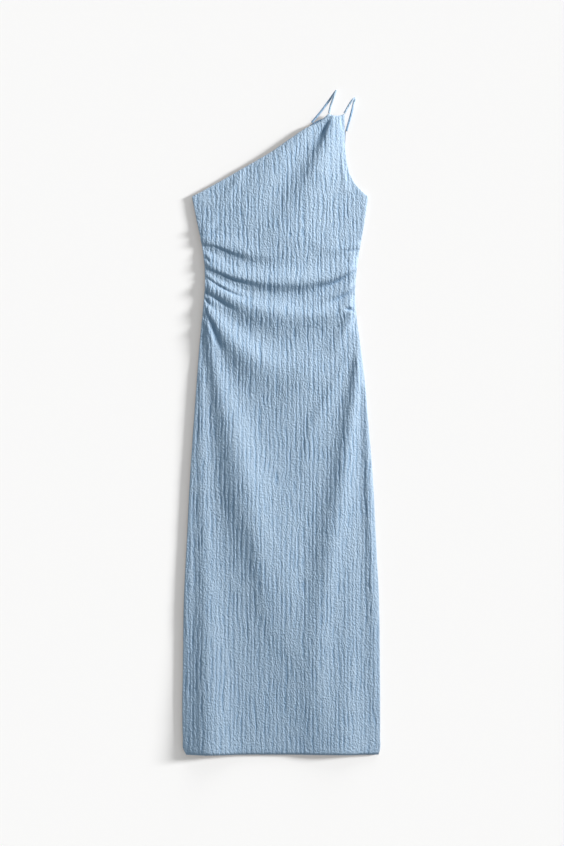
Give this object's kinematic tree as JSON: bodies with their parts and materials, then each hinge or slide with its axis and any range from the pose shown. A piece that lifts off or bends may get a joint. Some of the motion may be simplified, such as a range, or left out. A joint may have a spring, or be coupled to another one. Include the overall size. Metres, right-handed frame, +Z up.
{
  "type": "one-shoulder dress",
  "caption": "Long one-shoulder dress in crinkled cloth, laid flat, with a diagonal neckline, waist gathered into its side seams and thin looped straps.",
  "frame": {"origin": "centre of the laid dress's bounding box on the surface it lies on, at the back panel's underside", "axes": "+Z up from the surface, +Y from the hem towards the shoulder, +X towards the side of the dress that carries the straps"},
  "size_m": [0.3946, 1.3276, 0.0185],
  "materials": {
    "front_cloth": "light blue crinkled stretch cloth, matt with a soft sheen on its ridges",
    "back_cloth": "light blue crinkled stretch cloth, its inside matt and darker, which is the side that shows",
    "strap_cloth": "light blue cloth sewn into a thin smooth tube"
  },
  "bodies": {
    "root": {"front_panel": "front_cloth", "back_panel": "back_cloth", "neck_strap": "strap_cloth", "arm_strap": "strap_cloth"}
  },
  "joints": []
}
